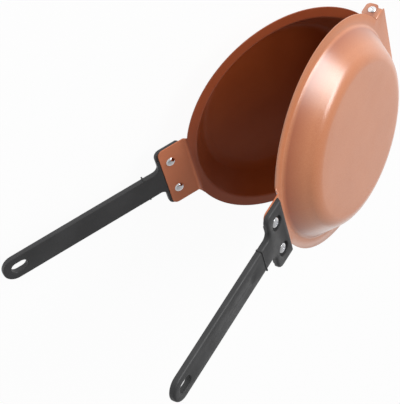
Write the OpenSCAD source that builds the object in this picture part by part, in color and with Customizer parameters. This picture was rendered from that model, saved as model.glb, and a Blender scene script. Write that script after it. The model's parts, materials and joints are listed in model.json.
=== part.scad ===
// Double sided flip pan: two shallow pressed pans, hinged at one edge, each with its own handle.
// The origin is the middle of the lower pan's base, where it stands, and the handles point to +X.

/* [Pans] */
// Outside diameter of each pan's flat rim
rim_d = 190; // [170:1:220]
// Height of one pan, from the outside of its base to the top face of its rim
pan_h = 23; // [18:0.1:32]
// Thickness of the pressed steel sheet
sheet = 1; // [0.8:0.1:1.3]
// Width of the flat rim, from its edge in to the wall
rim_w = 8.5; // [6:0.5:12]
// How far the wall leans in on its way down to the base
wall_lean = 17.8; // [10:0.2:26]
// Outside radius of the corner between base and wall
base_corner_r = 14; // [8:0.5:18]
// Radius under the bend from the wall to the rim
rim_bend_r = 2.5; // [1.5:0.5:4]

/* [Handle tabs] */
// Width of the tab that carries a handle
tab_w = 61.2; // [54:0.2:70]
// How far the tab reaches past the rim
tab_reach = 20.6; // [16:0.2:28]
// How far the tab is set back from the level of the rim
tab_drop = 3.6; // [2.5:0.1:5]
// Flat land between the rim's bend and the step down to the tab
step_land = 1.8; // [1:0.1:4]
// Length of the sloping step between rim and tab
step_run = 2.4; // [1.5:0.1:4]
// Radius of the tab's outer corners
tab_corner_r = 5; // [2:0.5:8]
// Radius of the hollow corners between the rim and the tab's sides
tab_fillet_r = 3; // [1:0.5:5]

/* [Hinge] */
// How far the upper pan stands open
open_angle = 28.8; // [0:0.1:180]
// Gap between the two rims when the pans are shut
shut_gap = 1.6; // [1:0.1:3]
// Distance of the hinge line inside the edge of the rim
pin_inset = 3.6; // [2:0.1:3.8]
// Distance of the hinge line below the lower pan's rim
pin_drop = 5; // [4.9:0.1:7]
// Distance from the hinge line to the rim beside each ear
pin_room = 8.3; // [8.2:0.1:12]
// Relief between each upper ear and the rim beside it
ear_relief = 0.7; // [0.5:0.1:1.5]
// Diameter of the hinge rivets
rivet_d = 4; // [3:0.1:5]
// Radial play of the upper ears on the rivets
rivet_play = 0.05; // [0.02:0.01:0.1]
// Diameter of the rivets' domed outer heads
rivet_head_d = 7; // [6:0.1:9]
// Height of the rivets' domed outer heads
rivet_head_h = 1.9; // [1.2:0.1:2.5]
// Thickness of the rivets' flat inner heads
rivet_back_t = 1.1; // [0.8:0.1:2]
// Side play between a lower ear and the upper ear outside it
ear_play = 0.35; // [0.3:0.05:0.6]
// Inside radius of the bend between tab and ear
ear_bend_r = 0.8; // [0.6:0.1:1]
// How far the upper pan's hinge tab reaches past its rim
hinge_lip = 2.3; // [1:0.1:4]
// How far the lower pan's hinge tab reaches past the hinge line
lower_lip = 2; // [1:0.1:2.4]
// Radius of the lower ears round the hinge line
lower_lug_r = 5.7; // [5:0.1:6.1]
// Width of the upper ears round the hinge line
upper_lug_w = 13.8; // [12:0.1:14]
// How far the upper ears reach past the hinge line
upper_lug_reach = 7.3; // [6:0.1:7.5]
// Radius of the upper ears' corners
upper_lug_r = 3.5; // [3:0.1:5]

/* [Handles] */
// Length of a handle's grip, from the edge of the tab to its end
grip_l = 147.8; // [110:0.5:190]
// Width of the grip
grip_w = 22.2; // [19:0.2:26]
// Distance of the grip's inner face below the rim's level
grip_inset = 3.4; // [2.8:0.1:4]
// Width of the neck between the cross head and the collar
neck_w = 21.8; // [18:0.2:24]
// Distance from the tab's edge to the collar round the neck
collar_at = 17; // [12:0.5:24]
// Length of the collar along the handle
collar_l = 1.2; // [0.8:0.1:3]
// How far the collar stands proud of the grip
collar_rise = 0.6; // [0.3:0.1:1.5]
// Radius of the grip's long outer edges
grip_edge_r = 2; // [1:0.1:2.5]
// Radius of the grip's long inner edges
grip_inner_r = 0.8; // [0.5:0.1:1.5]
// Thickness of the cross head under the tab
head_t = 4; // [3.6:0.1:7]
// Width of the cross head
head_w = 60; // [50:0.5:70]
// Distance from the foot of the tab's step to the cross head
head_set = 1.8; // [1:0.1:5]
// How far the cross head's inner end leans back on its way out from the tab
head_slant = 3; // [0:0.1:4]
// How far the cross head reaches past the tab's edge
head_reach = 2.7; // [1.5:0.1:6]
// Radius of the cross head's corners beside the grip
head_corner_r = 6; // [4:0.5:9]
// Radius of the cross head's corners beside the pan
head_inner_r = 2.5; // [1:0.5:5]
// Radius of the hollow corners between cross head and neck
neck_fillet_r = 5; // [2:0.5:7]
// Length of the hanging slot
slot_l = 14.5; // [11:0.5:24]
// Width of the hanging slot
slot_w = 9.6; // [6:0.2:12]
// Distance from the middle of the slot to the end of the grip
slot_from_end = 14.3; // [12:0.2:24]
// Diameter of the round dimple in the grip's outer face
dimple_d = 9; // [5:0.5:12]
// Depth of the dimple
dimple_depth = 0.9; // [0.5:0.1:1.5]
// Distance from the tab's edge to the middle of the dimple
dimple_at = 34.6; // [26:0.2:60]

/* [Fasteners] */
// Distance between the two fasteners of a handle
bolt_pitch = 31; // [26:0.5:38]
// Distance of the fasteners inside the tab's edge
bolt_inset = 8.4; // [7:0.1:12]
// Outside diameter of a dome nut's barrel
barrel_d = 5.6; // [5:0.1:6.5]
// Diameter of a dome nut's head
nut_head_d = 8.2; // [7.5:0.1:10]
// Height of a dome nut's head
nut_head_h = 2.1; // [1.4:0.1:2.4]
// Diameter of the screws' shanks
screw_d = 4; // [3:0.1:4.4]
// Diameter of the screws' heads
screw_head_d = 9.2; // [7.5:0.1:9.8]
// Height of the screws' heads
screw_head_h = 2; // [1.6:0.1:2.4]
// Diameter of the pocket that each screw head sits in
pocket_d = 12.6; // [10.4:0.1:14]
// Depth of that pocket
pocket_depth = 2; // [1.4:0.1:2.4]
// Width of each arm of the cross recess
cross_w = 1; // [0.8:0.1:1.4]
// Length of each arm of the cross recess
cross_l = 4.6; // [4:0.1:5]
// Depth of the cross recess
cross_depth = 1.2; // [0.8:0.1:1.4]
// Radial play of the barrels in their holes and of the screws in the barrels
fit_play = 0.05; // [0.03:0.01:0.1]

/* [Hidden] */
$fn = 96;

copper = "#c58f70";
bakelite = "#3a3a3a";
chrome = "#d8d8d8";
LEFT = -1;
RIGHT = 1;
cut = 1;

// Pan section, as radius and height
rim_r = rim_d / 2;
wall_r = rim_r - rim_w;
wall_rise = pan_h - sheet;
wall_len = norm([wall_lean, wall_rise]);
wall_in = [-wall_rise, wall_lean] / wall_len;
wall_slope = atan2(wall_rise, wall_lean);
corner_c = [wall_r - wall_lean - base_corner_r * tan(wall_slope / 2), base_corner_r];
bend_c = [wall_r + rim_bend_r * tan(wall_slope / 2), pan_h - sheet - rim_bend_r];
dish_r = bend_c.x;
dish_lap = 0.5;

// Handle tab, whose hollow corners just cross the rim's edge, because arcs that only touch leave a gap there
fillet_lap = 0.01;
tab_x = rim_r + tab_reach;
tab_z = pan_h - tab_drop;
step_x = dish_r + step_land;
step_foot_x = step_x + step_run;
step_mitre = sheet * tan(atan2(tab_drop, step_run) / 2);
fillet_y = tab_w / 2 + tab_fillet_r;
fillet_x = sqrt(pow(rim_r + tab_fillet_r - fillet_lap, 2) - pow(fillet_y, 2));

// Hinge, from the lower pan's own base
pin_x = pin_inset - rim_r;
pin_z = pan_h - pin_drop;
upper_ear_in = sqrt(pow(rim_r, 2) - pow(-pin_x - pin_room, 2));
lower_ear_out = upper_ear_in - ear_play;
upper_ear_out = upper_ear_in + sheet;
lower_ear_in = lower_ear_out - sheet;
bend_out_r = ear_bend_r + sheet;
bend_lap = 0.5;
// The same hinge line, seen from the upper pan's own base
upper_pin_z = pan_h + shut_gap + pin_drop;
upper_root_x = pin_x + pin_room - ear_relief;
upper_relief = 3.5;
lower_root_x = -sqrt(pow(rim_r, 2) - pow(lower_ear_in, 2));
upper_edge_x = -rim_r - hinge_lip;
lower_edge_x = pin_x - lower_lip;

// Handle, with a gap between the tab's edge and the grip's full thickness
edge_gap = 0.4;
head_top = tab_z - sheet;
head_out = head_top - head_t;
head_x0 = step_foot_x + head_set;
head_x1 = tab_x + head_reach;
grip_top = pan_h - grip_inset;
grip_t = grip_top - head_out;
grip_end = tab_x + grip_l;
neck_x0 = tab_x + edge_gap;
collar_x = tab_x + collar_at;
slot_x = grip_end - slot_from_end;

// Fasteners, with a gap at the end of each barrel and each screw
end_gap = 0.4;
screw_hole_rise = 0.5;
bolt_x = tab_x - bolt_inset;
pocket_z = head_out + pocket_depth;
barrel_end = pocket_z + end_gap;
barrel_hole_d = barrel_d + 2 * fit_play;
screw_hole_d = screw_d + 2 * fit_play;
screw_hole_top = tab_z + screw_hole_rise;
screw_top = screw_hole_top - end_gap;

// Region inside the pan's surface, where depth is measured in from the outside of the sheet
module inside_region(depth, top) {
    wall_foot = corner_c - wall_in * (base_corner_r - depth);
    wall_top = bend_c + wall_in * (rim_bend_r + depth);
    rim_z = pan_h - sheet + depth;
    difference() {
        union() {
            polygon([[0, depth], [corner_c.x, depth], wall_foot, wall_top,
                [bend_c.x, rim_z], [rim_r, rim_z], [rim_r, top], [0, top]]);
            translate(corner_c) circle(r = base_corner_r - depth);
        }
        translate(bend_c) circle(r = rim_bend_r + depth);
    }
}

// Base, wall and bend, up to where the flat rim starts
module dish() {
    rotate_extrude() intersection() {
        difference() {
            inside_region(0, pan_h);
            inside_region(sheet, pan_h + cut);
        }
        square([dish_r + dish_lap, pan_h]);
    }
}

// Rounded rectangle between two corners, with its own radius on the low and on the high X side
module round_plan(from, to, low_r, high_r) {
    union() {
        for (x = [[from.x + low_r, low_r], [to.x - high_r, high_r]])
            for (y = [from.y + x[1], to.y - x[1]])
                translate([x[0], y]) circle(r = x[1]);
        translate([from.x + low_r, from.y]) square([to.x - from.x - low_r - high_r, to.y - from.y]);
        translate([from.x, from.y + low_r]) square([low_r, to.y - from.y - 2 * low_r]);
        translate([to.x - high_r, from.y + high_r]) square([high_r, to.y - from.y - 2 * high_r]);
    }
}

// Outline of the rim with both tabs, before the tabs are formed
module blank_plan(edge_x, flat_y) {
    circle(r = rim_r, $fn = 180);
    round_plan([0, -tab_w / 2], [tab_x, tab_w / 2], tab_corner_r, tab_corner_r);
    translate([edge_x, -flat_y]) square([-edge_x, 2 * flat_y]);
    for (side = [LEFT, RIGHT]) difference() {
        polygon([[0, 0], [fillet_x, side * fillet_y], [fillet_x, side * tab_w / 2]]);
        translate([fillet_x, side * fillet_y]) circle(r = tab_fillet_r);
    }
}

// Side view of the sheet: flat across the rim, with a step down to the handle tab
module formed_sheet() {
    width = 2 * rim_d;
    rotate([90, 0, 0]) linear_extrude(width, center = true) polygon([
        [-width, pan_h], [step_x, pan_h], [step_foot_x, tab_z], [width, tab_z],
        [width, tab_z - sheet], [step_foot_x - step_mitre, tab_z - sheet],
        [step_x - step_mitre, pan_h - sheet], [-width, pan_h - sheet]]);
}

// Flat rim with its tabs, without ears
module rim_sheet(edge_x, flat_y) {
    difference() {
        intersection() {
            linear_extrude(2 * pan_h) blank_plan(edge_x, flat_y);
            formed_sheet();
        }
        cylinder(r = dish_r, h = 2 * pan_h);
        for (side = [LEFT, RIGHT]) translate([bolt_x, side * bolt_pitch / 2, 0])
            cylinder(d = barrel_hole_d, h = 2 * pan_h);
    }
}

// Quarter bend along X at the foot of an ear, whose outer face is at Y = out, lapped into the sheet at both ends
module ear_bend(x0, x1, out) {
    translate([x0, out - bend_out_r, 0]) rotate([90, 0, 90]) linear_extrude(x1 - x0) {
        intersection() {
            difference() {
                circle(r = bend_out_r);
                circle(r = ear_bend_r);
            }
            square(bend_out_r);
        }
        translate([-bend_lap, ear_bend_r]) square([bend_lap, sheet]);
        translate([ear_bend_r, -bend_lap]) square([sheet, bend_lap]);
    }
}

// Flat of an ear, from a side view drawn in X and Z, with the hinge hole
module ear_plate(out, pivot_z, hole_d) {
    translate([0, out, 0]) rotate([90, 0, 0]) difference() {
        linear_extrude(sheet) children();
        translate([pin_x, pivot_z, -cut]) cylinder(d = hole_d, h = sheet + 2 * cut);
    }
}

// The lower pan's ear on the +Y side, which hangs down from its hinge tab
module lower_ear() {
    root_z = pan_h - bend_out_r;
    translate([0, 0, root_z]) ear_bend(lower_edge_x, lower_root_x, lower_ear_out);
    ear_plate(lower_ear_out, pin_z, rivet_d) {
        translate([lower_edge_x, pin_z]) square([lower_root_x - lower_edge_x, root_z - pin_z]);
        intersection() {
            translate([pin_x, pin_z]) circle(r = lower_lug_r);
            translate([pin_x - lower_lug_r, 0]) square([2 * lower_lug_r, root_z]);
        }
    }
}

// The upper pan's ear on the +Y side, which reaches past the lower pan's ear
module upper_ear() {
    root_z = pan_h + ear_bend_r;
    root_x0 = pin_x - upper_relief;
    lug_x1 = pin_x + upper_lug_w / 2;
    lug_z0 = upper_pin_z - upper_relief;
    translate([0, 0, root_z]) mirror([0, 0, 1]) ear_bend(root_x0, upper_root_x, upper_ear_out);
    ear_plate(upper_ear_out, upper_pin_z, rivet_d + 2 * rivet_play) {
        polygon([[root_x0, root_z], [upper_root_x, root_z], [upper_root_x, root_z + bend_lap],
            [lug_x1, lug_z0], [lug_x1, upper_pin_z], [root_x0, upper_pin_z]]);
        round_plan([lug_x1 - upper_lug_w, lug_z0], [lug_x1, upper_pin_z + upper_lug_reach],
            upper_lug_r, upper_lug_r);
    }
}

// Pan section, rim and tabs of either pan, with a pair of ears
module pan(edge_x, flat_y) {
    color(copper) union() {
        dish();
        rim_sheet(edge_x, flat_y);
        for (side = [0, 1]) mirror([0, side, 0]) children();
    }
}

// Cross head and neck, seen from above
module head_plan() {
    round_plan([head_x0, -head_w / 2], [head_x1, head_w / 2], head_inner_r, head_corner_r);
    translate([head_x1 - head_corner_r, -neck_w / 2]) square([collar_x - head_x1 + head_corner_r, neck_w]);
    for (side = [LEFT, RIGHT]) difference() {
        translate([head_x1, side * (neck_w / 2 + neck_fillet_r / 2)])
            square([neck_fillet_r * 2, neck_fillet_r], center = true);
        translate([head_x1 + neck_fillet_r, side * (neck_w / 2 + neck_fillet_r)]) circle(r = neck_fillet_r);
    }
}

// Side view of the cross head, whose inner end leans back from the tab
module head_profile() {
    rotate([90, 0, 0]) linear_extrude(2 * head_w, center = true) polygon([
        [head_x0, head_top], [head_x0 + head_slant, head_out], [collar_x, head_out], [collar_x, head_top]]);
}

// Grip, seen from above
module grip_plan() {
    translate([collar_x, -grip_w / 2]) square([grip_l - collar_at - grip_w / 2, grip_w]);
    translate([grip_end - grip_w / 2, 0]) circle(d = grip_w);
}

// Hanging slot, seen from above
module slot_plan() {
    straight = slot_l - slot_w;
    square([straight, slot_w], center = true);
    for (end = [LEFT, RIGHT]) translate([end * straight / 2, 0]) circle(d = slot_w);
}

// Grip, seen along its length, with soft edges
module grip_section() {
    half = grip_w / 2;
    round_plan([head_out, -half], [grip_top, half], grip_edge_r, grip_inner_r);
}

// Handle of the lower pan, in the lower pan's own place
module handle() {
    color(bakelite) difference() {
        union() {
            intersection() {
                translate([0, 0, head_out]) linear_extrude(head_t) head_plan();
                head_profile();
            }
            intersection() {
                translate([0, 0, head_out]) linear_extrude(grip_t) head_plan();
                translate([neck_x0, -grip_w, head_out]) cube([grip_l, 2 * grip_w, grip_t]);
            }
            intersection() {
                translate([0, 0, head_out]) linear_extrude(grip_t) grip_plan();
                rotate([0, -90, 0]) mirror([0, 0, 1]) linear_extrude(grip_end) grip_section();
            }
            translate([collar_x - collar_l / 2, -grip_w / 2 - collar_rise, head_out - collar_rise])
                cube([collar_l, grip_w + 2 * collar_rise, grip_t + collar_rise]);
        }
        for (side = [LEFT, RIGHT]) translate([bolt_x, side * bolt_pitch / 2, head_out]) {
            translate([0, 0, -cut]) cylinder(d = pocket_d, h = pocket_depth + cut);
            cylinder(d = barrel_hole_d, h = head_t + cut);
        }
        translate([slot_x, 0, head_out - cut]) linear_extrude(grip_t + 2 * cut) slot_plan();
        dimple();
    }
}

// Shallow round hollow in the grip's outer face
module dimple() {
    ball_r = (pow(dimple_d / 2, 2) + pow(dimple_depth, 2)) / (2 * dimple_depth);
    translate([tab_x + dimple_at, 0, head_out + dimple_depth - ball_r]) sphere(r = ball_r);
}

// Domed cap of a given width and height, standing on Z = 0
module dome(width, height) {
    ball_r = (pow(width / 2, 2) + pow(height, 2)) / (2 * height);
    rotate_extrude() intersection() {
        translate([0, height - ball_r]) circle(r = ball_r);
        square([width / 2, height]);
    }
}

// Dome nut: its head sits on the tab and its barrel goes down through tab and handle
module dome_nut(side) {
    color(chrome) translate([bolt_x, side * bolt_pitch / 2, 0]) difference() {
        union() {
            translate([0, 0, tab_z]) dome(nut_head_d, nut_head_h);
            translate([0, 0, barrel_end]) cylinder(d = barrel_d, h = tab_z - barrel_end);
        }
        translate([0, 0, barrel_end - cut]) cylinder(d = screw_hole_d, h = screw_hole_top - barrel_end + cut);
    }
}

// Screw from the outside: a domed head with a cross recess, and its shank up in the dome nut
module screw(side) {
    edge_h = screw_head_h / 2;
    color(chrome) translate([bolt_x, side * bolt_pitch / 2, pocket_z]) {
        cylinder(d = screw_d, h = screw_top - pocket_z);
        difference() {
            mirror([0, 0, 1]) union() {
                cylinder(d = screw_head_d, h = edge_h);
                translate([0, 0, edge_h]) dome(screw_head_d, screw_head_h - edge_h);
            }
            for (turn = [0, 90]) rotate(turn)
                translate([-cross_l / 2, -cross_w / 2, -screw_head_h - cut])
                    cube([cross_l, cross_w, cross_depth + cut]);
        }
    }
}

// Hinge rivet: tight in the lower ear, free in the upper ear, with a hollow in its domed end
module hinge_rivet(side) {
    head_y = upper_ear_out + 2 * rivet_play;
    hollow_d = 1.8;
    hollow_depth = 1;
    color(chrome) translate([pin_x, 0, pin_z]) mirror([0, side == LEFT ? 1 : 0, 0])
        rotate([-90, 0, 0]) difference() {
            union() {
                translate([0, 0, lower_ear_in - rivet_back_t]) cylinder(d = rivet_head_d, h = rivet_back_t);
                translate([0, 0, lower_ear_in]) cylinder(d = rivet_d, h = head_y - lower_ear_in);
                translate([0, 0, head_y]) dome(rivet_head_d, rivet_head_h);
            }
            translate([0, 0, head_y + rivet_head_h - hollow_depth]) cylinder(d = hollow_d, h = hollow_depth + cut);
        }
}

// Turns a piece of a pan over on to the shut pans, and then opens it about the hinge line
module raised() {
    translate([pin_x, 0, pin_z]) rotate([0, -open_angle, 0]) translate([-pin_x, 0, -pin_z])
        translate([0, 0, 2 * pan_h + shut_gap]) mirror([0, 0, 1]) children();
}

module lower_pan() { pan(lower_edge_x, lower_ear_out - bend_out_r) lower_ear(); }
module upper_pan() { raised() pan(upper_edge_x, upper_ear_out - bend_out_r) upper_ear(); }
module lower_handle() { handle(); }
module upper_handle() { raised() handle(); }
module lower_dome_nut_left() { dome_nut(LEFT); }
module lower_dome_nut_right() { dome_nut(RIGHT); }
module upper_dome_nut_left() { raised() dome_nut(LEFT); }
module upper_dome_nut_right() { raised() dome_nut(RIGHT); }
module lower_screw_left() { screw(LEFT); }
module lower_screw_right() { screw(RIGHT); }
module upper_screw_left() { raised() screw(LEFT); }
module upper_screw_right() { raised() screw(RIGHT); }
module hinge_rivet_left() { hinge_rivet(LEFT); }
module hinge_rivet_right() { hinge_rivet(RIGHT); }

lower_pan();
upper_pan();
lower_handle();
upper_handle();
lower_dome_nut_left();
lower_dome_nut_right();
upper_dome_nut_left();
upper_dome_nut_right();
lower_screw_left();
lower_screw_right();
upper_screw_left();
upper_screw_right();
hinge_rivet_left();
hinge_rivet_right();
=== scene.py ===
"""Double sided flip pan: the looks of its two pressed pans, their handles and their fasteners."""

import json
from math import acos, asin, atan2, cos, pi, radians, sin, sqrt, tan

import bmesh
import bpy
from mathutils import Matrix, Vector


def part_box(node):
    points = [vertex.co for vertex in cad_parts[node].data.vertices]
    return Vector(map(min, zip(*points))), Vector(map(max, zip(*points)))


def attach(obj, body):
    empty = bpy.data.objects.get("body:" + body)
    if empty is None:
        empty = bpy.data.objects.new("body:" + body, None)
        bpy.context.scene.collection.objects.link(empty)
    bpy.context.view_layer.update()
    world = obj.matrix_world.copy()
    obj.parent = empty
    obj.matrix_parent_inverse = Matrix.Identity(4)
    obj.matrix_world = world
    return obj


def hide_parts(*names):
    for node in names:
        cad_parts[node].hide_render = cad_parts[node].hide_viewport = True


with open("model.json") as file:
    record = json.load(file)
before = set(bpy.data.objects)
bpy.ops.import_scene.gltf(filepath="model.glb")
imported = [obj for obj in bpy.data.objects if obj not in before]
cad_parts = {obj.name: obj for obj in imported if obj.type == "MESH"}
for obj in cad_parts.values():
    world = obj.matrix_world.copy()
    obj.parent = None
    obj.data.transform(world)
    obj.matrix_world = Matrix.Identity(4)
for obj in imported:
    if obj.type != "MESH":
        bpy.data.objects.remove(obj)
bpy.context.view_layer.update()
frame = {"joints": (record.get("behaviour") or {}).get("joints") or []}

MM = 0.001
NEAR = 0.001 * MM
LEFT = -1
RIGHT = 1
INSIDE = 0
OUTSIDE = 1

# Angles past which an edge is sharp, and is rounded, and the weight that keeps flat faces flat
SHARP = radians(38)
ROUNDED_FROM = radians(60)
FLAT_WEIGHT = 80

# Steps and sides that round shapes are made in
CORNER_STEPS = 8
BEND_STEPS = 6
LONG_ARC_STEPS = 12
LUG_STEPS = 30
HOLE_SIDES = 32
ROUND_SIDES = 48
PAN_SIDES = 240
BASE_RINGS = 6
DIMPLE_RINGS = 6

# Places and sizes that the frame gives
PAN_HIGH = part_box("lower_pan")[1]
HANDLE_LOW, HANDLE_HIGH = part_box("lower_handle")
NUT_LOW, NUT_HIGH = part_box("lower_dome_nut_right")
SCREW_LOW, SCREW_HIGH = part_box("lower_screw_right")
RIVET_LOW, RIVET_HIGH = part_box("hinge_rivet_right")
JOINT = frame["joints"][0]
HINGE = Vector(JOINT["pos_m"])
OPEN_ANGLE = -radians(JOINT["range_deg"][0])

# Pressed sheet of one pan
SHEET = 1.0 * MM
RIM_R = PAN_HIGH.y
PIN_DROP = 5.0 * MM
RIM_TOP = HINGE.z + PIN_DROP
RIM_MID = RIM_TOP - SHEET / 2
RIM_W = 8.5 * MM
WALL_LEAN = 17.8 * MM
BASE_CORNER_R = 14.0 * MM
RIM_BEND_R = 2.5 * MM
WALL_TOP_R = RIM_R - RIM_W
WALL_SLOPE = atan2(RIM_TOP - SHEET, WALL_LEAN)
BASE_R = WALL_TOP_R - WALL_LEAN - BASE_CORNER_R * tan(WALL_SLOPE / 2)
DISH_R = WALL_TOP_R + RIM_BEND_R * tan(WALL_SLOPE / 2)
SHEET_EDGE_R = 0.22 * MM

# Narrow flat strip beside each bend, which keeps the bend's shading off the flat sheet
LAND = 0.3 * MM
LAND_R = DISH_R + LAND

# Handle tab, set back from the rim by a formed step
TAB_X = PAN_HIGH.x
TAB_HALF = 30.6 * MM
TAB_CORNER_R = 5.0 * MM
TAB_FILLET_R = 3.0 * MM
TAB_DROP = 3.6 * MM
STEP_RUN = 2.4 * MM
STEP_X = DISH_R + 1.8 * MM
STEP_FOLD_R = 1.0 * MM
STEP_ANGLE = atan2(TAB_DROP, STEP_RUN)
TAB_TOP = RIM_TOP - TAB_DROP

# Hinge ears
EAR_BEND_R = 1.3 * MM
PIN_ROOM = 8.3 * MM
EAR_PLAY = 0.35 * MM
EAR_HOLE_R = 2.05 * MM
UPPER_EAR_Y = sqrt(RIM_R ** 2 - (-HINGE.x - PIN_ROOM) ** 2) + SHEET / 2
LOWER_EAR_Y = UPPER_EAR_Y - SHEET - EAR_PLAY
UPPER_EDGE_X = -RIM_R - 2.3 * MM
UPPER_LUG_HALF = 6.9 * MM
UPPER_LUG_REACH = 7.3 * MM
UPPER_LUG_R = 3.5 * MM
EAR_RELIEF = 0.7 * MM
LOWER_LUG_R = 5.7 * MM
LOWER_EDGE_X = HINGE.x - 2.0 * MM

# Upper pan: the lower one turned over on to it, and opened about the hinge
SHUT_GAP = 1.6 * MM
TURNED_OVER = Matrix.Translation((0, 0, 2 * RIM_TOP + SHUT_GAP)) @ Matrix.Diagonal((1, 1, -1, 1))
OPENED = Matrix.Translation(HINGE) @ Matrix.Rotation(-OPEN_ANGLE, 4, "Y") @ Matrix.Translation(-HINGE)
RAISED = OPENED @ TURNED_OVER
UPPER_PIN_Z = 2 * RIM_TOP + SHUT_GAP - HINGE.z

# Handle
COLLAR_RISE = 0.6 * MM
COLLAR_HALF = 0.6 * MM
COLLAR_EDGE_R = 0.35 * MM
COLLAR_X = TAB_X + 17.0 * MM
HEAD_X0 = HANDLE_LOW.x
HEAD_X1 = TAB_X + 2.7 * MM
HEAD_HALF = HANDLE_HIGH.y
HEAD_OUT = HANDLE_LOW.z + COLLAR_RISE
HEAD_TOP = TAB_TOP - SHEET
HEAD_SLANT = 3.0 * MM
HEAD_SLANT_RUN = 5.0 * MM
HEAD_INNER_R = 2.5 * MM
HEAD_CORNER_R = 6.0 * MM
NECK_FILLET_R = 5.0 * MM
NECK_HALF = 10.9 * MM
GRIP_HALF = 11.1 * MM
GRIP_TOP = HANDLE_HIGH.z
GRIP_END = HANDLE_HIGH.x
GRIP_START = TAB_X + 0.4 * MM
SHOULDER_HALF = 2 * GRIP_HALF
OUTER_EDGE_R = 1.8 * MM
INNER_EDGE_R = 0.8 * MM
SLOT_X = GRIP_END - 14.3 * MM
SLOT_L = 14.5 * MM
SLOT_W = 9.6 * MM
SLOT_EDGE_R = 0.7 * MM
DIMPLE_X = TAB_X + 34.6 * MM
DIMPLE_R = 4.5 * MM
DIMPLE_DEPTH = 0.9 * MM

# Fasteners
BOLT_X = (NUT_LOW.x + NUT_HIGH.x) / 2
BOLT_Y = (NUT_LOW.y + NUT_HIGH.y) / 2
NUT_HEAD_D = NUT_HIGH.x - NUT_LOW.x
NUT_HEAD_H = NUT_HIGH.z - TAB_TOP
BARREL_D = 5.6 * MM
SCREW_D = 4.0 * MM
SCREW_HEAD_D = SCREW_HIGH.x - SCREW_LOW.x
SCREW_HEAD_H = 2.0 * MM
POCKET_R = 6.3 * MM
POCKET_FLOOR = SCREW_LOW.z + SCREW_HEAD_H
POCKET_EDGE_R = 0.4 * MM
CROSS_L = 4.6 * MM
CROSS_W = 1.2 * MM
CROSS_DEPTH = 1.2 * MM
RIVET_HEAD_D = RIVET_HIGH.z - RIVET_LOW.z
RIVET_HEAD_H = 1.9 * MM
RIVET_PLAY = 0.05 * MM
RIVET_REACH = UPPER_EAR_Y + SHEET / 2 + 2 * RIVET_PLAY
RIVET_BACK_T = 1.1 * MM
RIVET_HOLLOW_D = 1.8 * MM
RIVET_HOLLOW_DEPTH = 1.0 * MM
SHANK_LAP = 0.25

# Light: how much comes from the room's dim and bright side, and how white the floor shows
ROOM_BRIGHTEST = (-0.1, -0.3, -0.95)
ROOM_DIM = 0.35
ROOM_BRIGHT = 0.95
FLOOR_GLOW = 0.95

# Viewpoint, fitted to points measured in the photograph
CAMERA_FROM_RIM = Vector((326.097, -865.506, 767.687)) * MM
CAMERA_TURN = Vector((0.56734, 2.46902, 1.06534))
CAMERA_LENS = 132.65
CAMERA_SENSOR = 36


# ---------------------------------------------------------------- outlines

def arc(centre, radius, start, end, steps=CORNER_STEPS):
    """Points on an arc from one angle to another, in radians."""
    return [
        Vector((centre[0] + radius * cos(a), centre[1] + radius * sin(a)))
        for a in (start + (end - start) * k / steps for k in range(steps + 1))
    ]


def rounded(corners, steps=CORNER_STEPS):
    """A closed outline through (x, y, radius) corners, with each corner turned to its radius."""
    points = []
    for i, (x, y, radius) in enumerate(corners):
        corner = Vector((x, y))
        before = (Vector(corners[i - 1][:2]) - corner).normalized()
        after = (Vector(corners[(i + 1) % len(corners)][:2]) - corner).normalized()
        if radius == 0:
            points.append(corner)
            continue
        half = before.angle(after) / 2
        centre = corner + (before + after).normalized() * radius / sin(half)
        start = corner + before * radius / tan(half) - centre
        turn = (pi - 2 * half) * (1 if before.cross(after) < 0 else -1)
        for k in range(steps + 1):
            points.append(centre + Matrix.Rotation(turn * k / steps, 2) @ start)
    return points


def mirrored(points):
    """The same points on the other side of the X axis, in the opposite order."""
    return [Vector((p.x, -p.y)) for p in reversed(points)]


def without_repeats(points):
    """A closed outline with no point twice in a row."""
    return [p for i, p in enumerate(points) if (p - points[i - 1]).length > NEAR]


def inset(points, depth):
    """A closed anticlockwise outline moved inwards by the same depth everywhere."""
    moved = []
    for i, point in enumerate(points):
        before = (point - points[i - 1]).normalized()
        after = (points[(i + 1) % len(points)] - point).normalized()
        inward = Vector((-before.y - after.y, before.x + after.x)).normalized()
        moved.append(point + inward * depth / inward.dot(Vector((-after.y, after.x))))
    return moved


def stadium(x, length, width, steps=LONG_ARC_STEPS):
    """A slot's outline, with round ends, about a point on the X axis."""
    radius = width / 2
    reach = (length - width) / 2
    return arc((x + reach, 0), radius, -pi / 2, pi / 2, steps) + arc(
        (x - reach, 0), radius, pi / 2, 3 * pi / 2, steps)


def circle(x, y, radius, steps=ROUND_SIDES):
    """A closed anticlockwise circle."""
    return arc((x, y), radius, 0, 2 * pi * (steps - 1) / steps, steps - 1)


# ---------------------------------------------------------------- mesh helpers

def ring(shape, points, z):
    """Adds the vertices of an outline at one height."""
    return [shape.verts.new((p.x, p.y, z)) for p in points]


def join_rings(shape, rings):
    """Joins each ring to the next one with a band of faces."""
    for low, high in zip(rings, rings[1:]):
        for i in range(len(low)):
            j = (i + 1) % len(low)
            shape.faces.new((low[i], low[j], high[j], high[i]))


def edges_round(shape, loop):
    """The edges of a closed loop of vertices, made where they are missing."""
    found = []
    for i, vert in enumerate(loop):
        other = loop[(i + 1) % len(loop)]
        found.append(shape.edges.get((vert, other)) or shape.edges.new((vert, other)))
    return found


def fill(shape, loops, up=1):
    """Fills a flat outline, its first loop, round the holes that the other loops are."""
    edges = [e for loop in loops for e in edges_round(shape, loop)]
    made = bmesh.ops.triangle_fill(shape, edges=edges, use_beauty=True, normal=(0, 0, up))
    return [g for g in made["geom"] if isinstance(g, bmesh.types.BMFace)]


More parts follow.
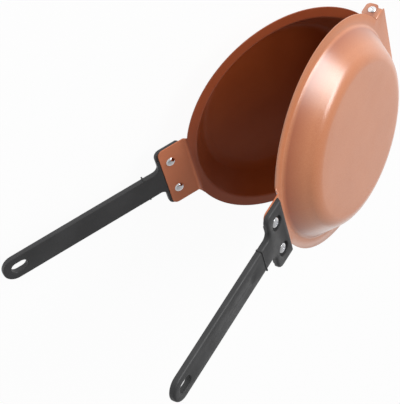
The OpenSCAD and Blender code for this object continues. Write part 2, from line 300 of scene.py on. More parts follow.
def finished(shape, name, materials):
    """Ends a shape as an object whose edges are smooth where they are blunt."""
    shape.normal_update()
    for face in shape.faces:
        face.smooth = True
    for edge in shape.edges:
        edge.smooth = not edge.is_manifold or edge.calc_face_angle(0) < SHARP
    mesh = bpy.data.meshes.new(name)
    shape.to_mesh(mesh)
    shape.free()
    for material in materials:
        mesh.materials.append(material)
    piece = bpy.data.objects.new(name, mesh)
    bpy.context.scene.collection.objects.link(piece)
    return piece


def applied(piece):
    """Turns a piece and its modifiers into a plain mesh."""
    graph = bpy.context.evaluated_depsgraph_get()
    mesh = bpy.data.meshes.new_from_object(piece.evaluated_get(graph), depsgraph=graph)
    mesh.name = piece.name
    piece.modifiers.clear()
    piece.data = mesh
    return piece


def sharpen(piece):
    """Smooth shading that breaks at a piece's sharp edges, with flat faces kept flat."""
    shape = bmesh.new()
    shape.from_mesh(piece.data)
    for face in shape.faces:
        face.smooth = True
    for edge in shape.edges:
        edge.smooth = edge.calc_face_angle(0) < SHARP
    shape.to_mesh(piece.data)
    shape.free()
    flatten = piece.modifiers.new("Flat faces", "WEIGHTED_NORMAL")
    flatten.keep_sharp = True
    flatten.weight = FLAT_WEIGHT
    return applied(piece)


def raise_up(piece):
    """Moves a piece of the lower pan to its place on the upper one."""
    piece.data.transform(RAISED)
    piece.data.flip_normals()
    return piece


def join_shapes(piece, other):
    """Adds one closed shape to another."""
    union = piece.modifiers.new("Join", "BOOLEAN")
    union.object = other
    union.operation = "UNION"
    union.solver = "MANIFOLD"
    applied(piece)
    bpy.data.objects.remove(other)
    return piece


# ---------------------------------------------------------------- pans

def dish_section():
    """Middle of the sheet from the middle of the base to the start of the flat rim, as (radius, height)."""
    corner = (BASE_R, BASE_CORNER_R)
    bend = (DISH_R, RIM_TOP - SHEET - RIM_BEND_R)
    points = [Vector((BASE_R * k / BASE_RINGS, SHEET / 2)) for k in range(1, BASE_RINGS)]
    points += arc(corner, BASE_CORNER_R - SHEET / 2, -pi / 2, WALL_SLOPE - pi / 2, LONG_ARC_STEPS)
    points += arc(bend, RIM_BEND_R + SHEET / 2, WALL_SLOPE + pi / 2, pi / 2)
    points.append(Vector((LAND_R, RIM_MID)))
    return points


def dish(shape):
    """Turns the dish section round the Z axis."""
    rings = [ring(shape, circle(0, 0, p.x, PAN_SIDES), p.y) for p in dish_section()]
    shape.faces.new(rings[0])
    join_rings(shape, rings)


def rim_half(edge_x, flat_y, marks):
    """Half of the rim's outline, from the middle of the handle tab round to the middle of the hinge."""
    fillet_y = TAB_HALF + TAB_FILLET_R
    fillet_x = sqrt((RIM_R + TAB_FILLET_R) ** 2 - fillet_y ** 2)
    rim_start = atan2(fillet_y, fillet_x)
    rim_end = pi - asin(flat_y / RIM_R)
    steps = round(PAN_SIDES * (rim_end - rim_start) / (2 * pi))
    tab_corner = (TAB_X - TAB_CORNER_R, TAB_HALF - TAB_CORNER_R)
    points = [Vector((TAB_X, 0))]
    points += arc(tab_corner, TAB_CORNER_R, 0, pi / 2)
    points += arc((fillet_x, fillet_y), TAB_FILLET_R, -pi / 2, rim_start - pi, BEND_STEPS)
    points += arc((0, 0), RIM_R, rim_start, rim_end, steps)[1:]
    points += [Vector((x, flat_y)) for x in (*marks, edge_x)]
    if edge_x > -RIM_R:
        points += arc((0, 0), RIM_R, acos(edge_x / RIM_R), pi, LONG_ARC_STEPS)
    else:
        points.append(Vector((edge_x, 0)))
    return without_repeats(points)


def step_section():
    """Middle of the sheet over the formed step to the handle tab, as (x, height)."""
    half_turn = STEP_FOLD_R * tan(STEP_ANGLE / 2)
    half_mitre = SHEET / 2 * tan(STEP_ANGLE / 2)
    top = Vector((STEP_X - half_mitre, RIM_MID))
    foot = Vector((STEP_X + STEP_RUN - half_mitre, RIM_MID - TAB_DROP))
    top_centre = (top.x - half_turn, top.y - STEP_FOLD_R)
    foot_centre = (foot.x + half_turn, foot.y + STEP_FOLD_R)
    upper = arc(top_centre, STEP_FOLD_R, pi / 2, pi / 2 - STEP_ANGLE, BEND_STEPS)
    lower = arc(foot_centre, STEP_FOLD_R, -pi / 2 - STEP_ANGLE, -pi / 2, BEND_STEPS)
    before = upper[0] - Vector((LAND, 0))
    after = lower[-1] + Vector((LAND, 0))
    return [before, *upper, *lower, after]


def height_on_step(x, section):
    """Height of the sheet's middle at one x along the step."""
    if x <= section[0].x:
        return section[0].y
    for low, high in zip(section, section[1:]):
        if x <= high.x + NEAR:
            return low.y + (high.y - low.y) * (x - low.x) / (high.x - low.x)
    return section[-1].y


def flat_rim(shape, half):
    """The flat rim with its tabs, folded down over the step, with holes for the dome nuts."""
    outline = without_repeats(half + mirrored(half))
    loops = [ring(shape, outline, 0), ring(shape, circle(0, 0, LAND_R, PAN_SIDES), 0)]
    for side in (LEFT, RIGHT):
        loops.append(ring(shape, circle(BOLT_X, side * BOLT_Y, BARREL_D / 2, HOLE_SIDES), 0))
    faces = fill(shape, loops)
    section = step_section()
    part = list({g for f in faces for g in (f, *f.edges, *f.verts)})
    for point in section:
        place = (point.x, 0, 0)
        cut = bmesh.ops.bisect_plane(shape, geom=part, dist=NEAR, plane_co=place, plane_no=(1, 0, 0))
        part = cut["geom"]
    for vert in {v for g in part if isinstance(g, bmesh.types.BMFace) for v in g.verts}:
        vert.co.z = height_on_step(vert.co.x, section)


def pair_of_ears(shape, root, up, pin_z, plate):
    """Two hinge ears: each a quarter bend along the flat's edge, and a plate with a hole for the rivet."""
    x0, x1, flat_y = root
    for side in (LEFT, RIGHT):
        rows = []
        for k in range(BEND_STEPS + 1):
            turn = pi / 2 * k / BEND_STEPS
            y = side * (flat_y + EAR_BEND_R * sin(turn))
            z = RIM_MID + up * EAR_BEND_R * (1 - cos(turn))
            rows.append([shape.verts.new((x0, y, z)), shape.verts.new((x1, y, z))])
        for low, high in zip(rows, rows[1:]):
            shape.faces.new((low[0], low[1], high[1], high[0]))
        y = side * (flat_y + EAR_BEND_R)
        loop = rows[-1] + [shape.verts.new((p.x, y, p.y)) for p in plate]
        round_pin = circle(HINGE.x, pin_z, EAR_HOLE_R, HOLE_SIDES)
        hole = [shape.verts.new((p.x, y, p.y)) for p in round_pin]
        edges = edges_round(shape, loop) + edges_round(shape, hole)
        bmesh.ops.triangle_fill(shape, edges=edges, use_beauty=True, normal=(0, side, 0))


def upper_ears(shape):
    """The upper pan's ears, outside the lower pan's; returns where their bends start and end."""
    x0 = HINGE.x - UPPER_LUG_HALF + UPPER_LUG_R
    x1 = HINGE.x + PIN_ROOM - EAR_RELIEF
    low = UPPER_PIN_Z - UPPER_LUG_R
    high = UPPER_PIN_Z + UPPER_LUG_REACH
    far = HINGE.x + UPPER_LUG_HALF
    near = HINGE.x - UPPER_LUG_HALF
    plate = [Vector((far, low))]
    plate += arc((far - UPPER_LUG_R, high - UPPER_LUG_R), UPPER_LUG_R, 0, pi / 2)
    plate += arc((near + UPPER_LUG_R, high - UPPER_LUG_R), UPPER_LUG_R, pi / 2, pi)
    plate += arc((near + UPPER_LUG_R, low + UPPER_LUG_R), UPPER_LUG_R, pi, 3 * pi / 2)
    pair_of_ears(shape, (x0, x1, UPPER_EAR_Y - EAR_BEND_R), 1, UPPER_PIN_Z, plate)
    return x0, x1


def lower_ears(shape):
    """The lower pan's ears, which hang down inside the upper pan's ears."""
    flat_y = LOWER_EAR_Y - EAR_BEND_R
    far = -sqrt(RIM_R ** 2 - flat_y ** 2)
    bend_rise = RIM_MID - EAR_BEND_R - HINGE.z
    lug_end = -pi - asin(bend_rise / LOWER_LUG_R)
    plate = [Vector((far, HINGE.z))]
    plate += arc((HINGE.x, HINGE.z), LOWER_LUG_R, 0, lug_end, LUG_STEPS)
    pair_of_ears(shape, (LOWER_EDGE_X, far, flat_y), -1, HINGE.z, plate)


def one_sided(shape):
    """Merges the sheet's parts and turns its faces towards the inside of the dish."""
    bmesh.ops.remove_doubles(shape, verts=shape.verts, dist=NEAR)
    bmesh.ops.recalc_face_normals(shape, faces=shape.faces)
    middle = min(shape.faces, key=lambda f: f.calc_center_median().length)
    if middle.normal.z < 0:
        bmesh.ops.reverse_faces(shape, faces=shape.faces)


def mark_depth(piece):
    """Stores each vertex's depth below the rim's top for the finishes: plus in the dish, minus outside."""
    depth = piece.data.attributes.new("depth", "FLOAT", "POINT")
    in_dish = [vert.co.xy.length < LAND_R + LAND for vert in piece.data.vertices]
    depth.data.foreach_set("value", [
        RIM_TOP - vert.co.z if inside else vert.co.z - RIM_TOP
        for vert, inside in zip(piece.data.vertices, in_dish)])
    return piece


def pressed(piece, edge_finish):
    """Gives the sheet its thickness and breaks its edges."""
    thick = piece.modifiers.new("Sheet", "SOLIDIFY")
    thick.thickness = SHEET
    thick.offset = 0
    thick.use_even_offset = True
    thick.material_offset = OUTSIDE
    thick.material_offset_rim = edge_finish
    soften = piece.modifiers.new("Sheet edges", "BEVEL")
    soften.width = SHEET_EDGE_R
    soften.segments = 2
    soften.limit_method = "ANGLE"
    soften.angle_limit = ROUNDED_FROM
    return mark_depth(sharpen(applied(piece)))


def coat_tab_edge(piece):
    """Carries the inside's coat round the edge of the handle tab."""
    for face in piece.data.polygons:
        on_tab = face.center.x > STEP_X + STEP_RUN
        upright = abs(face.normal.z) < 0.5
        if on_tab and upright:
            face.material_index = INSIDE
    return piece


def lower_pan(materials):
    """The pan that stands on its base, with the inside's coat round its edges."""
    shape = bmesh.new()
    dish(shape)
    flat_rim(shape, rim_half(LOWER_EDGE_X, LOWER_EAR_Y - EAR_BEND_R, ()))
    lower_ears(shape)
    one_sided(shape)
    return pressed(finished(shape, "lower_pan_sheet", materials), INSIDE)


def upper_pan(materials):
    """The pan that swings over the lower one, with the outside's paint round its edges."""
    shape = bmesh.new()
    dish(shape)
    x0, x1 = upper_ears(shape)
    flat_rim(shape, rim_half(UPPER_EDGE_X, UPPER_EAR_Y - EAR_BEND_R, (x1, x0)))
    one_sided(shape)
    return raise_up(coat_tab_edge(pressed(finished(shape, "upper_pan_sheet", materials), OUTSIDE)))


# ---------------------------------------------------------------- handles

def handle_half():
    """Half of a handle's outline, from its inner end round to the end of the grip."""
    corners = [
        (HEAD_X0, HEAD_HALF, HEAD_INNER_R),
        (HEAD_X1, HEAD_HALF, HEAD_CORNER_R),
        (HEAD_X1, NECK_HALF, NECK_FILLET_R),
        (COLLAR_X, GRIP_HALF, 0),
        (GRIP_END, GRIP_HALF, GRIP_HALF),
    ]
    closed = [(x, -y, r) for x, y, r in corners] + list(reversed(corners))
    points = rounded(closed)
    upper = [p for p in points if p.y > NEAR]
    return mirrored(upper)


def handle_outline():
    """A handle's outline, anticlockwise from above, and where its grip's part of it starts and ends."""
    half = handle_half()
    shoulder = Vector((HEAD_X1, -SHOULDER_HALF))
    start = next(i for i, p in enumerate(half) if p.x > HEAD_X1 - NEAR and p.y > -SHOULDER_HALF)
    half.insert(start, shoulder)
    tip = Vector((GRIP_END, 0))
    outline = half + [tip] + mirrored(half)
    return outline, start, len(outline) - start


def rounding(radius, steps=4):
    """(inset, drop) pairs of a rounded edge, from the flat face out to the side wall."""
    return [
        (radius * (1 - sin(pi / 2 * k / steps)), radius * (1 - cos(pi / 2 * k / steps)))
        for k in range(steps + 1)
    ]


def through_slot(shape):
    """The hanging slot's wall, and its mouths on the outer and the inner face."""
    def mouth(grow):
        return stadium(SLOT_X, SLOT_L + 2 * grow, SLOT_W + 2 * grow)
    edge = rounding(SLOT_EDGE_R)
    rings = [ring(shape, mouth(grow), HEAD_OUT + drop) for grow, drop in edge]
    rings += [ring(shape, mouth(grow), GRIP_TOP - drop) for grow, drop in reversed(edge)]
    join_rings(shape, rings)
    return rings[0], rings[-1]


def screw_pocket(shape, side):
    """The pocket that a screw's head sits in, with the hole for the dome nut's barrel."""
    y = side * BOLT_Y
    rings = [
        ring(shape, circle(BOLT_X, y, POCKET_R + grow), HEAD_OUT + drop)
        for grow, drop in rounding(POCKET_EDGE_R, 2)
    ]
    rings.append(ring(shape, circle(BOLT_X, y, POCKET_R), POCKET_FLOOR))
    rings.append(ring(shape, circle(BOLT_X, y, BARREL_D / 2), POCKET_FLOOR))
    rings.append(ring(shape, circle(BOLT_X, y, BARREL_D / 2), HEAD_TOP))
    join_rings(shape, rings)
    return rings[0], rings[-1]


def dimple(shape):
    """The shallow round hollow in the grip's outer face."""
    ball_r = (DIMPLE_R ** 2 + DIMPLE_DEPTH ** 2) / (2 * DIMPLE_DEPTH)
    centre_z = HEAD_OUT + DIMPLE_DEPTH - ball_r
    widest = asin(DIMPLE_R / ball_r)
    rings = []
    for k in range(DIMPLE_RINGS):
        turn = widest * (1 - k / DIMPLE_RINGS)
        edge = circle(DIMPLE_X, 0, ball_r * sin(turn), HOLE_SIDES)
        rings.append(ring(shape, edge, centre_z + ball_r * cos(turn)))
    join_rings(shape, rings)
    shape.faces.new(rings[-1])
    return rings[0]


def lean_back(shape):
    """Slants the head's inner end back from the tab."""
    for vert in shape.verts:
        share = 1 - (vert.co.x - HEAD_X0) / HEAD_SLANT_RUN
        if share > 0:
            vert.co.x += HEAD_SLANT * share * (HEAD_TOP - vert.co.z) / (HEAD_TOP - HEAD_OUT)


def collar(material):
    """The thin raised ring between neck and grip."""
    shape = bmesh.new()
    half = GRIP_HALF + COLLAR_RISE
    low = HEAD_OUT - COLLAR_RISE
    made = bmesh.ops.create_cube(shape, size=1)
    size = Matrix.Diagonal((2 * COLLAR_HALF, 2 * half, GRIP_TOP - low, 1))
    place = Matrix.Translation((COLLAR_X, 0, (GRIP_TOP + low) / 2))
    bmesh.ops.transform(shape, matrix=place @ size, verts=made["verts"])
    edges = shape.edges[:]
    bmesh.ops.bevel(shape, geom=edges, offset=COLLAR_EDGE_R, segments=3, affect="EDGES", profile=0.5)
    return finished(shape, "collar", [material])


def handle(name, material):
    """One moulded handle: cross head under the tab, neck, collar and flat grip with its hanging slot."""
    shape = bmesh.new()
    outline, start, end = handle_outline()
    rings = [ring(shape, inset(outline, depth), HEAD_OUT + drop) for depth, drop in rounding(OUTER_EDGE_R)]
    rings.append(ring(shape, outline, HEAD_TOP))
    join_rings(shape, rings)
    inner_end = [Vector((GRIP_START, SHOULDER_HALF)), Vector((GRIP_START, -SHOULDER_HALF))]
    grip = outline[start:end] + inner_end
    seat = rings[-1][start:end] + ring(shape, inner_end, HEAD_TOP)
    edge = reversed(rounding(INNER_EDGE_R))
    top = [ring(shape, inset(grip, depth), GRIP_TOP - drop) for depth, drop in edge]
    join_rings(shape, [seat] + top)
    outer_slot, inner_slot = through_slot(shape)
    pockets = [screw_pocket(shape, side) for side in (LEFT, RIGHT)]
    fill(shape, [rings[0], outer_slot, dimple(shape)] + [mouth for mouth, bore in pockets], -1)
    fill(shape, [top[-1], inner_slot])
    head_top = rings[-1][end - 1:] + rings[-1][:start + 1] + [seat[-1], seat[-2]]
    fill(shape, [head_top] + [bore for mouth, bore in pockets])
    lean_back(shape)
    bmesh.ops.recalc_face_normals(shape, faces=shape.faces)
    piece = finished(shape, name, [material])
    return sharpen(join_shapes(piece, collar(material)))


# ---------------------------------------------------------------- node trees

def add(tree, kind, inputs=None, **settings):
    """Adds a node, sets what it is told, and links or sets its inputs."""
    node = tree.nodes.new(kind)
    for key, value in settings.items():
        setattr(node, key, value)
    for key, value in (inputs or {}).items():
        socket = node.inputs[key]
        if isinstance(value, bpy.types.NodeSocket):
            tree.links.new(value, socket)
        else:
            socket.default_value = value
    return node


def solids(tree, first, others, operation):
    """Adds closed solids to one another, or cuts the others out of the first."""
    node = add(tree, "GeometryNodeMeshBoolean", operation=operation, solver="EXACT")
    if operation == "DIFFERENCE":
        tree.links.new(first, node.inputs[0])
    else:
        others = [first, *others]
    for other in others:
        tree.links.new(other, node.inputs[1])
    return node.outputs["Mesh"]


def calc(tree, operation, a, b):
    """Arithmetic on two numbers or sockets."""
    return add(tree, "ShaderNodeMath", {0: a, 1: b}, operation=operation).outputs[0]


def xyz(tree, x=0.0, y=0.0, z=0.0):
    """A vector of three numbers or sockets."""
    return add(tree, "ShaderNodeCombineXYZ", {0: x, 1: y, 2: z}).outputs[0]


def placed(tree, geometry, offset, scale=(1, 1, 1)):
    """Scales and then moves a geometry."""
    node = add(tree, "GeometryNodeTransform", {"Geometry": geometry, "Translation": offset, "Scale": scale})
    return node.outputs[0]


def rod(tree, width, length, low):
    """A round bar along Z, from its low end up."""
    made = add(tree, "GeometryNodeMeshCylinder", {
        "Vertices": ROUND_SIDES, "Radius": calc(tree, "DIVIDE", width, 2), "Depth": length})
    middle = calc(tree, "ADD", low, calc(tree, "DIVIDE", length, 2))
    return placed(tree, made.outputs["Mesh"], xyz(tree, z=middle))


def button(tree, width, height):
    """A domed head with a flat underside, standing on Z = 0."""
    ball = add(tree, "GeometryNodeMeshUVSphere", {
        "Segments": ROUND_SIDES, "Rings": ROUND_SIDES // 2, "Radius": 1.0})
    position = add(tree, "ShaderNodeSeparateXYZ", {0: add(tree, "GeometryNodeInputPosition").outputs[0]})
    upper = calc(tree, "MAXIMUM", position.outputs[2], 0.0)
    flat = xyz(tree, position.outputs[0], position.outputs[1], upper)
    half = add(tree, "GeometryNodeSetPosition", {"Geometry": ball.outputs["Mesh"], "Position": flat})
    radius = calc(tree, "DIVIDE", width, 2)
    return placed(tree, half.outputs[0], (0, 0, 0), xyz(tree, radius, radius, height))


def size_tree(name, sizes):
    """A node tree with one named input for each size."""
    tree = bpy.data.node_groups.new(name, "GeometryNodeTree")
    tree.interface.new_socket("Material", in_out="INPUT", socket_type="NodeSocketMaterial")
    for label, value in sizes.items():
        socket = tree.interface.new_socket(label, in_out="INPUT", socket_type="NodeSocketFloat")
        socket.default_value = value
    tree.interface.new_socket("Geometry", in_out="OUTPUT", socket_type="NodeSocketGeometry")
    return tree, tree.nodes.new("NodeGroupInput").outputs


def end_tree(tree, geometry, material):
    """Ends a tree: instances made real, smooth faces, and the material."""
    real = add(tree, "GeometryNodeRealizeInstances", {"Geometry": geometry})
    smooth = add(tree, "GeometryNodeSetShadeSmooth", {"Geometry": real.outputs[0]})
    dressed = add(tree, "GeometryNodeSetMaterial", {"Geometry": smooth.outputs[0], "Material": material})
    output = tree.nodes.new("NodeGroupOutput")
    tree.links.new(dressed.outputs[0], output.inputs[0])


def pair_across(tree, geometry, spacing):
    """Two of a geometry, side by side across the handle."""
    start = xyz(tree, y=calc(tree, "DIVIDE", spacing, -2))
    line = add(tree, "GeometryNodeMeshLine", {
        "Count": 2, "Start Location": start, "Offset": xyz(tree, y=spacing)})
    pair = add(tree, "GeometryNodeInstanceOnPoints", {"Points": line.outputs[0], "Instance": geometry})
    return pair.outputs[0]


def dome_nut_tree():
    """Dome nuts: a domed head on the tab, and a hollow barrel down through tab and handle."""
    sizes = {"Head width": NUT_HEAD_D, "Head height": NUT_HEAD_H, "Barrel width": BARREL_D,
             "Barrel length": TAB_TOP - NUT_LOW.z, "Bore": SCREW_D, "Spacing": 2 * BOLT_Y}
    tree, size = size_tree("dome_nuts", sizes)
    low = calc(tree, "MULTIPLY", size["Barrel length"], -1)
    lap = calc(tree, "MULTIPLY", size["Head height"], SHANK_LAP)
    reach = calc(tree, "ADD", size["Barrel length"], lap)
    barrel = rod(tree, size["Barrel width"], reach, low)
    whole = solids(tree, button(tree, size["Head width"], size["Head height"]), [barrel], "UNION")
    bore_low = calc(tree, "SUBTRACT", low, lap)
    bored = solids(tree, whole, [rod(tree, size["Bore"], reach, bore_low)], "DIFFERENCE")
    end_tree(tree, pair_across(tree, bored, size["Spacing"]), size["Material"])
    return tree, sizes


def screw_tree():
    """Screws: a domed head with a cross recess, and a shank up into the dome nut."""
    sizes = {"Head width": SCREW_HEAD_D, "Head height": SCREW_HEAD_H, "Shank width": SCREW_D,
             "Shank length": SCREW_HIGH.z - POCKET_FLOOR, "Cross length": CROSS_L, "Cross width": CROSS_W,
             "Cross depth": CROSS_DEPTH, "Spacing": 2 * BOLT_Y}
    tree, size = size_tree("screws", sizes)
    low = calc(tree, "MULTIPLY", size["Shank length"], -1)
    lap = calc(tree, "MULTIPLY", size["Head height"], SHANK_LAP)
    shank = rod(tree, size["Shank width"], calc(tree, "ADD", size["Shank length"], lap), low)
    whole = solids(tree, button(tree, size["Head width"], size["Head height"]), [shank], "UNION")
    depth = calc(tree, "MULTIPLY", size["Cross depth"], 2)
    arms = []
    for x, y in (("Cross width", "Cross length"), ("Cross length", "Cross width")):
        bar = add(tree, "GeometryNodeMeshCube", {"Size": xyz(tree, size[x], size[y], depth)})
        arms.append(placed(tree, bar.outputs["Mesh"], xyz(tree, z=size["Head height"])))
    cross = solids(tree, arms[0], arms[1:], "UNION")
    cut = solids(tree, whole, [cross], "DIFFERENCE")
    end_tree(tree, pair_across(tree, cut, size["Spacing"]), size["Material"])
    return tree, sizes


def rivet_tree():
    """Hinge rivets: a domed outer head with a small hollow, a shank, and a flat inner head."""
    sizes = {"Head width": RIVET_HEAD_D, "Head height": RIVET_HEAD_H, "Head reach": RIVET_REACH,
             "Shank width": 2 * (EAR_HOLE_R - RIVET_PLAY), "Back reach": RIVET_LOW.y,
             "Back thickness": RIVET_BACK_T, "Hollow width": RIVET_HOLLOW_D,
             "Hollow depth": RIVET_HOLLOW_DEPTH}
    tree, size = size_tree("hinge_rivets", sizes)
    dome = button(tree, size["Head width"], size["Head height"])
    head = placed(tree, dome, xyz(tree, z=size["Head reach"]))
    back = rod(tree, size["Head width"], size["Back thickness"], size["Back reach"])
    shank_low = calc(tree, "ADD", size["Back reach"], calc(tree, "DIVIDE", size["Back thickness"], 2))
    lap = calc(tree, "MULTIPLY", size["Head height"], SHANK_LAP)
    shank_high = calc(tree, "ADD", size["Head reach"], lap)
    shank = rod(tree, size["Shank width"], calc(tree, "SUBTRACT", shank_high, shank_low), shank_low)
    whole = solids(tree, head, [back, shank], "UNION")
    top = calc(tree, "ADD", size["Head reach"], size["Head height"])
    hollow_low = calc(tree, "SUBTRACT", top, size["Hollow depth"])
    hollow = rod(tree, size["Hollow width"], calc(tree, "MULTIPLY", size["Hollow depth"], 2), hollow_low)
    cut = solids(tree, whole, [hollow], "DIFFERENCE")
    points = add(tree, "GeometryNodeMeshLine", {"Count": 2, "Offset": (0, 0, 0)})
    index = add(tree, "GeometryNodeInputIndex").outputs[0]
    turn = calc(tree, "ADD", calc(tree, "MULTIPLY", index, -pi), pi / 2)
    pair = add(tree, "GeometryNodeInstanceOnPoints", {
        "Points": points.outputs[0], "Instance": cut, "Rotation": xyz(tree, x=turn)})
    end_tree(tree, pair.outputs[0], size["Material"])
    return tree, sizes


def grown(name, tree, sizes, material, place):
    """Makes a tree's pieces as one plain mesh and puts them in their place."""
    piece = bpy.data.objects.new(name, bpy.data.meshes.new(name))
    bpy.context.scene.collection.objects.link(piece)
    nodes = piece.modifiers.new("Pieces", "NODES")
    nodes.node_group = tree
    values = {"Material": material, **sizes}
    for socket in tree.interface.items_tree:
        if socket.in_out == "INPUT":
            nodes[socket.identifier] = values[socket.name]
    applied(piece)
    piece.data.transform(place)
    return sharpen(piece)


# ---------------------------------------------------------------- finishes

def finish_tree(name):
    """A new material, with its surface shader and its Object coordinates."""
    material = bpy.data.materials.new(name)
    material.use_nodes = True
    tree = material.node_tree
    return material, tree, tree.nodes["Principled BSDF"], add(tree, "ShaderNodeTexCoord").outputs["Object"]


def noise(tree, where, scale, detail=3.0, roughness=0.5):
    """Soft noise, in spots of one over its scale in metres."""
    node = add(tree, "ShaderNodeTexNoise", {
        "Vector": where, "Scale": scale, "Detail": detail, "Roughness": roughness})
    return node.outputs["Fac"]


def spread(tree, value, low, high, out_low, out_high):
    """Maps a part of a value's range on to another range."""
    node = add(tree, "ShaderNodeMapRange", {
        "Value": value, "From Min": low, "From Max": high, "To Min": out_low, "To Max": out_high})
    return node.outputs[0]


def clouds(tree, where, scale, low=0, high=1, start=0.3):
    """Soft clouds of a value that runs from low to high, as the noise goes from its start to 0.7."""
    return spread(tree, noise(tree, where, scale), start, 0.7, low, high)


def blend_colours(tree, share, first, second):
    """Mixes two colours or colour sockets by a share."""
    node = add(tree, "ShaderNodeMix", data_type="RGBA")
    for socket, value in zip((node.inputs[0], node.inputs[6], node.inputs[7]), (share, first, second)):
        if isinstance(value, bpy.types.NodeSocket):
            tree.links.new(value, socket)
        else:
            socket.default_value = value
    return node.outputs[2]


def srgb(red, green, blue):
    """A colour from its 0 to 255 screen values."""
    def linear(level):
        share = level / 255
        return share / 12.92 if share <= 0.04045 else ((share + 0.055) / 1.055) ** 2.4
    return (linear(red), linear(green), linear(blue), 1)


def bump(tree, height, strength, distance):
    """A bump normal from a height."""
    node = add(tree, "ShaderNodeBump", {"Height": height, "Strength": strength, "Distance": distance})
    return node.outputs["Normal"]


def depth_share(tree, start, end, at_start, at_end):
    """A value that changes between two depths below a pan's rim."""
    depth = add(tree, "ShaderNodeAttribute", attribute_name="depth").outputs["Fac"]
    return spread(tree, depth, start, end, at_start, at_end)


def sprayed_copper():
    """Satin copper paint with metal flakes, a little uneven, with painted shade darkening the corner under
    the rim.
    """
    material, tree, surface, where = finish_tree("sprayed_copper")
    cloud = clouds(tree, where, scale=22)
    flakes = add(tree, "ShaderNodeTexVoronoi", {"Vector": where, "Scale": 2600.0})
    flake_share = spread(tree, flakes.outputs["Color"], 0.0, 1.0, 0.0, 0.4)
    paint = blend_colours(tree, cloud, srgb(199, 114, 67), srgb(207, 122, 75))
    flaked = blend_colours(tree, flake_share, paint, srgb(227, 161, 118))
    # Painted shade: the paint is darkened in the corner just under the rim's bend, where shade falls, and
    # fades out towards the base.
    shade_below_rim = depth_share(tree, start=2.1 * MM, end=3.7 * MM, at_start=0, at_end=1)
    shade_above_base = depth_share(tree, start=4 * MM, end=14 * MM, at_start=0.7, at_end=0)
    corner = calc(tree, "MULTIPLY", shade_below_rim, shade_above_base)
    colour = blend_colours(tree, corner, flaked, srgb(168, 84, 44))
    tree.links.new(colour, surface.inputs["Base Color"])
    tree.links.new(clouds(tree, where, scale=60, low=0.28, high=0.35), surface.inputs["Roughness"])
    grain = noise(tree, where, scale=1400, detail=2.0)
    tree.links.new(bump(tree, grain, strength=0.12, distance=0.2 * MM), surface.inputs["Normal"])
    surface.inputs["IOR"].default_value = 1.8
    surface.inputs["Coat Weight"].default_value = 0.8
    surface.inputs["Coat Roughness"].default_value = 0.25
    surface.inputs["Coat IOR"].default_value = 1.5
    return material


def baked_coat():
    """Copper-brown non-stick coat of the inside, one coat with painted light and shade: lightest on the
    tab, darker on the rim, darkest in the bowl.
    """
    material, tree, surface, where = finish_tree("baked_coat")
    cloud = clouds(tree, where, scale=26)
    # Painted light and shade: the rim's colour is darker for the upper pan's shade, and the tab's is
    # lighter where light falls on it.
    rim = blend_colours(tree, cloud, srgb(152, 73, 43), srgb(160, 81, 49))
    tab = blend_colours(tree, cloud, srgb(206, 122, 84), srgb(214, 130, 92))
    beyond_step = depth_share(tree, start=SHEET - TAB_DROP, end=-SHEET, at_start=1, at_end=0)
    thin = blend_colours(tree, beyond_step, rim, tab)
    # Painted shade: the bowl's colour is darker still, for the shade under its walls and the upper pan.
    thick = blend_colours(tree, cloud, srgb(146, 67, 30), srgb(156, 75, 36))
    bowl = depth_share(tree, start=0.1 * MM, end=1.0 * MM, at_start=0, at_end=1)
    tree.links.new(blend_colours(tree, bowl, thin, thick), surface.inputs["Base Color"])
    tree.links.new(spread(tree, bowl, 0, 1, 0.3, 0.15), surface.inputs["Specular IOR Level"])
    tree.links.new(clouds(tree, where, scale=80, low=0.34, high=0.42), surface.inputs["Roughness"])
    grain = noise(tree, where, scale=1200, detail=2.0)
    tree.links.new(bump(tree, grain, strength=0.10, distance=0.2 * MM), surface.inputs["Normal"])
    return material


def moulded_black():
    """Black moulded plastic with a fine sandblasted grain and slightly rubbed high spots."""
    material, tree, surface, where = finish_tree("moulded_black")
    cloud = clouds(tree, where, scale=40, start=0.35)
    colour = blend_colours(tree, cloud, srgb(48, 48, 49), srgb(58, 58, 59))
    tree.links.new(colour, surface.inputs["Base Color"])
    tree.links.new(clouds(tree, where, scale=120, low=0.42, high=0.55), surface.inputs["Roughness"])
    grain = noise(tree, where, scale=1800, roughness=0.6)
    tree.links.new(bump(tree, grain, strength=0.25, distance=0.2 * MM), surface.inputs["Normal"])
    return material


def bright_plating():
    """Bright plated steel with light scuffs."""
    material, tree, surface, where = finish_tree("bright_plating")
    scuffs = spread(tree, noise(tree, where, scale=900), 0.45, 0.75, 0, 1)
    colour = blend_colours(tree, scuffs, srgb(250, 250, 252), srgb(226, 228, 232))
    tree.links.new(colour, surface.inputs["Base Color"])
    tree.links.new(spread(tree, scuffs, 0, 1, 0.06, 0.18), surface.inputs["Roughness"])
    tree.links.new(bump(tree, scuffs, strength=0.05, distance=0.1 * MM), surface.inputs["Normal"])
    surface.inputs["Metallic"].default_value = 1.0
    return material


def pale_floor():
    """The studio's white floor, which the camera sees as white with the object's shadow on it."""
    material, tree, surface, where = finish_tree("pale_floor")
    cloud = clouds(tree, where, scale=3)
    colour = blend_colours(tree, cloud, srgb(240, 240, 240), srgb(244, 244, 244))
    tree.links.new(colour, surface.inputs["Base Color"])
    surface.inputs["Roughness"].default_value = 0.9
    surface.inputs["Specular IOR Level"].default_value = 0.1
    paths = add(tree, "ShaderNodeLightPath")
    seen = calc(tree, "MAXIMUM", paths.outputs["Is Camera Ray"], paths.outputs["Is Glossy Ray"])
    glow = add(tree, "ShaderNodeEmission", {"Color": (1, 1, 1, 1), "Strength": 1.0})
    glow_share = calc(tree, "MULTIPLY", seen, FLOOR_GLOW)
    both = add(tree, "ShaderNodeMixShader", {0: glow_share, 1: surface.outputs[0], 2: glow.outputs[0]})
    tree.links.new(both.outputs[0], tree.nodes["Material Output"].inputs["Surface"])
    return material


# ---------------------------------------------------------------- stage, light and camera

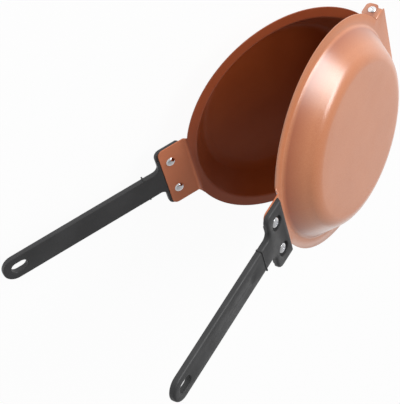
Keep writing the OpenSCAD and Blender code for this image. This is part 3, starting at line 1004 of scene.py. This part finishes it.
def floor():
    """A large plain floor under the lower pan."""
    shape = bmesh.new()
    bmesh.ops.create_circle(shape, cap_ends=True, radius=6, segments=96)
    piece = finished(shape, "floor", [pale_floor()])


def soft_light(name, place, aim, width, height, power):
    """A tall soft box that points at a place."""
    lamp = bpy.data.lights.new(name, "AREA")
    lamp.shape = "RECTANGLE"
    lamp.size = width
    lamp.size_y = height
    lamp.energy = power
    holder = bpy.data.objects.new(name, lamp)
    bpy.context.scene.collection.objects.link(holder)
    holder.location = place
    holder.rotation_euler = (Vector(aim) - Vector(place)).to_track_quat("-Z", "Y").to_euler()


def studio_world():
    """White surroundings to the camera; as light, a room that is brighter low down than overhead."""
    world = bpy.data.worlds.new("studio")
    world.use_nodes = True
    tree = world.node_tree
    direction = add(tree, "ShaderNodeTexCoord").outputs["Generated"]
    facing = add(tree, "ShaderNodeVectorMath", {0: direction, 1: ROOM_BRIGHTEST}, operation="DOT_PRODUCT")
    light = spread(tree, facing.outputs["Value"], -1, 1, ROOM_DIM, ROOM_BRIGHT)
    paths = add(tree, "ShaderNodeLightPath")
    seen = calc(tree, "MAXIMUM", paths.outputs["Is Camera Ray"], paths.outputs["Is Transmission Ray"])
    back = tree.nodes["Background"]
    back.inputs["Color"].default_value = (1, 1, 1, 1)
    tree.links.new(calc(tree, "MAXIMUM", seen, light), back.inputs["Strength"])
    bpy.context.scene.world = world


def camera():
    """The photograph's viewpoint: from above, with the handles pointing down and to the left."""
    eye = CAMERA_FROM_RIM + Vector((0, 0, RIM_TOP))
    seen = Matrix.Rotation(CAMERA_TURN.length, 3, CAMERA_TURN.normalized()).transposed()
    seen = seen @ Matrix.Diagonal((1, -1, -1))
    lens = bpy.data.cameras.new("camera")
    lens.lens = CAMERA_LENS
    lens.sensor_width = CAMERA_SENSOR
    lens.clip_start = 0.01
    holder = bpy.data.objects.new("camera", lens)
    bpy.context.scene.collection.objects.link(holder)
    holder.matrix_world = Matrix.Translation(eye) @ seen.to_4x4()
    bpy.context.scene.camera = holder


def carry(piece, body, slot, *nodes):
    """Puts a piece on its body, in the place of its CAD nodes."""
    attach(piece, body)
    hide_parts(*nodes)


def build():
    """Makes every piece and hangs it on its body."""
    sheet = [baked_coat(), sprayed_copper()]
    black = moulded_black()
    bright = bright_plating()
    carry(lower_pan(sheet), "lower", "coated_sheet", "lower_pan")
    carry(upper_pan(sheet), "upper", "coated_sheet", "upper_pan")
    carry(handle("lower_grip", black), "lower", "handle_plastic", "lower_handle")
    carry(raise_up(handle("upper_grip", black)), "upper", "handle_plastic", "upper_handle")
    on_tab = Matrix.Translation((BOLT_X, 0, TAB_TOP))
    in_pocket = Matrix.Translation((BOLT_X, 0, POCKET_FLOOR)) @ Matrix.Rotation(pi, 4, "X")
    on_hinge = Matrix.Translation((HINGE.x, 0, HINGE.z))
    for kind, tree, place in (("dome_nut", dome_nut_tree(), on_tab), ("screw", screw_tree(), in_pocket)):
        low = grown(f"lower_{kind}s", *tree, bright, place)
        carry(low, "lower", "bright_metal", f"lower_{kind}_left", f"lower_{kind}_right")
        high = raise_up(grown(f"upper_{kind}s", *tree, bright, place))
        carry(high, "upper", "bright_metal", f"upper_{kind}_left", f"upper_{kind}_right")
    rivets = grown("hinge_rivets", *rivet_tree(), bright, on_hinge)
    carry(rivets, "lower", "bright_metal", "hinge_rivet_left", "hinge_rivet_right")


build()
floor()
studio_world()
soft_light("left_front", place=(-1.34, -1.24, 1.24), aim=(0, 0, 0.05), width=0.8, height=1.6, power=30)
camera()
bpy.context.scene.view_settings.view_transform = "Standard"
